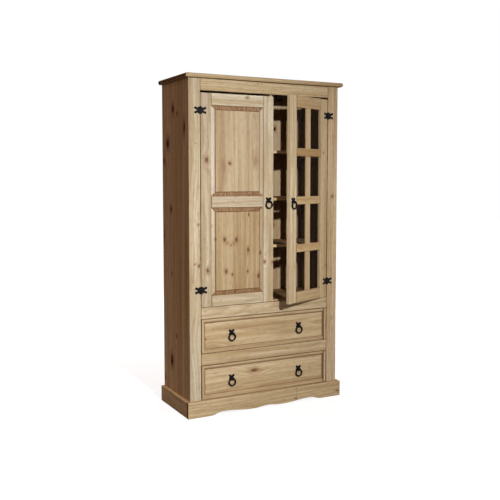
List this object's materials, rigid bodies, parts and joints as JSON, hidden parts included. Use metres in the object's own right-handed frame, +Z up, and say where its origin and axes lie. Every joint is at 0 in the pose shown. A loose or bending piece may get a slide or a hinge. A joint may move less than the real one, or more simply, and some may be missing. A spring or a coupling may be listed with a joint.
{
  "type": "display cabinet",
  "caption": "Tall waxed-pine cabinet with a solid panelled door, a glazed door over shelves, drawers below, black ring pulls and a scalloped plinth.",
  "frame": {"origin": "on the floor, at the middle of the width, on the plane of the carcass's back", "axes": "+Z up, -Y out of the front, where the doors and drawers open, +X to the right seen from the front"},
  "size_m": [0.988, 0.5264, 1.85],
  "materials": {
    "waxed_pine": "waxed, honey-coloured, with knots and open grain",
    "inside_pine": "waxed, a little darker, on the pieces inside and behind",
    "black_iron": "black painted, satin",
    "clear_glass": "clear, flat",
    "catch_plastic": "dark brown, moulded"
  },
  "bodies": {
    "carcass": {"top_board": "waxed_pine", "left_side_panel": "waxed_pine", "right_side_panel": "waxed_pine", "left_front_stile": "waxed_pine", "right_front_stile": "waxed_pine", "top_front_rail": "waxed_pine", "middle_front_rail": "waxed_pine", "drawer_divider_rail": "waxed_pine", "bottom_front_rail": "waxed_pine", "front_plinth": "waxed_pine", "left_plinth": "waxed_pine", "right_plinth": "waxed_pine", "rear_plinth": "inside_pine", "back_boards": "inside_pine", "cupboard_floor": "inside_pine", "base_panel": "inside_pine", "shelves": "inside_pine", "shelf_battens": "inside_pine", "drawer_runners": "inside_pine", "frame_hinge_leaves": "black_iron", "hinge_pins": "black_iron", "door_catches": "catch_plastic"},
    "left_door": {"left_door_hinge_stile": "waxed_pine", "left_door_closing_stile": "waxed_pine", "left_door_top_rail": "waxed_pine", "left_door_middle_rail": "waxed_pine", "left_door_bottom_rail": "waxed_pine", "left_door_upper_panel": "waxed_pine", "left_door_lower_panel": "waxed_pine", "left_door_edge_strip": "waxed_pine", "left_door_hinge_leaves": "black_iron", "left_door_pull_plate": "black_iron", "left_door_strike": "black_iron"},
    "right_door": {"right_door_hinge_stile": "waxed_pine", "right_door_closing_stile": "waxed_pine", "right_door_top_rail": "waxed_pine", "right_door_bottom_rail": "waxed_pine", "right_door_cross_bars": "waxed_pine", "right_door_upright_bar": "waxed_pine", "right_door_glass": "clear_glass", "right_door_glass_beads": "waxed_pine", "right_door_hinge_leaves": "black_iron", "right_door_pull_plate": "black_iron", "right_door_strike": "black_iron"},
    "left_door_ring": {"left_door_ring": "black_iron"},
    "right_door_ring": {"right_door_ring": "black_iron"},
    "upper_drawer": {"upper_drawer_front": "waxed_pine", "upper_drawer_bead": "waxed_pine", "upper_drawer_box": "inside_pine", "upper_drawer_pull_plates": "black_iron"},
    "upper_drawer_left_ring": {"upper_drawer_left_ring": "black_iron"},
    "upper_drawer_right_ring": {"upper_drawer_right_ring": "black_iron"},
    "lower_drawer": {"lower_drawer_front": "waxed_pine", "lower_drawer_bead": "waxed_pine", "lower_drawer_box": "inside_pine", "lower_drawer_pull_plates": "black_iron"},
    "lower_drawer_left_ring": {"lower_drawer_left_ring": "black_iron"},
    "lower_drawer_right_ring": {"lower_drawer_right_ring": "black_iron"}
  },
  "joints": [
    {"name": "left_door_hinge", "type": "hinge", "parent": "carcass", "child": "left_door", "pos_m": [-0.4045, -0.3866, 1.176], "axis": [0, 0, -1], "range_deg": [0, 110]},
    {"name": "right_door_hinge", "type": "hinge", "parent": "carcass", "child": "right_door", "pos_m": [0.4045, -0.3866, 1.176], "axis": [0, 0, 1], "range_deg": [-22, 88]},
    {"name": "left_door_ring_swing", "type": "hinge", "parent": "left_door", "child": "left_door_ring", "pos_m": [0.011, -0.3925, 1.1685], "axis": [-1, 0, 0], "range_deg": [-8, 90]},
    {"name": "right_door_ring_swing", "type": "hinge", "parent": "right_door", "child": "right_door_ring", "pos_m": [0.10213, -0.51513, 1.1685], "axis": [-0.9272, -0.3746, 0], "range_deg": [-8, 90]},
    {"name": "upper_drawer_slide", "type": "slide", "parent": "carcass", "child": "upper_drawer", "axis": [0, -1, 0], "range_m": [0, 0.25]},
    {"name": "upper_drawer_left_ring_swing", "type": "hinge", "parent": "upper_drawer", "child": "upper_drawer_left_ring", "pos_m": [-0.217, -0.3835, 0.4395], "axis": [-1, 0, 0], "range_deg": [-8, 90]},
    {"name": "upper_drawer_right_ring_swing", "type": "hinge", "parent": "upper_drawer", "child": "upper_drawer_right_ring", "pos_m": [0.217, -0.3835, 0.4395], "axis": [-1, 0, 0], "range_deg": [-8, 90]},
    {"name": "lower_drawer_slide", "type": "slide", "parent": "carcass", "child": "lower_drawer", "axis": [0, -1, 0], "range_m": [0, 0.25]},
    {"name": "lower_drawer_left_ring_swing", "type": "hinge", "parent": "lower_drawer", "child": "lower_drawer_left_ring", "pos_m": [-0.217, -0.3835, 0.1845], "axis": [-1, 0, 0], "range_deg": [-8, 90]},
    {"name": "lower_drawer_right_ring_swing", "type": "hinge", "parent": "lower_drawer", "child": "lower_drawer_right_ring", "pos_m": [0.217, -0.3835, 0.1845], "axis": [-1, 0, 0], "range_deg": [-8, 90]}
  ]
}
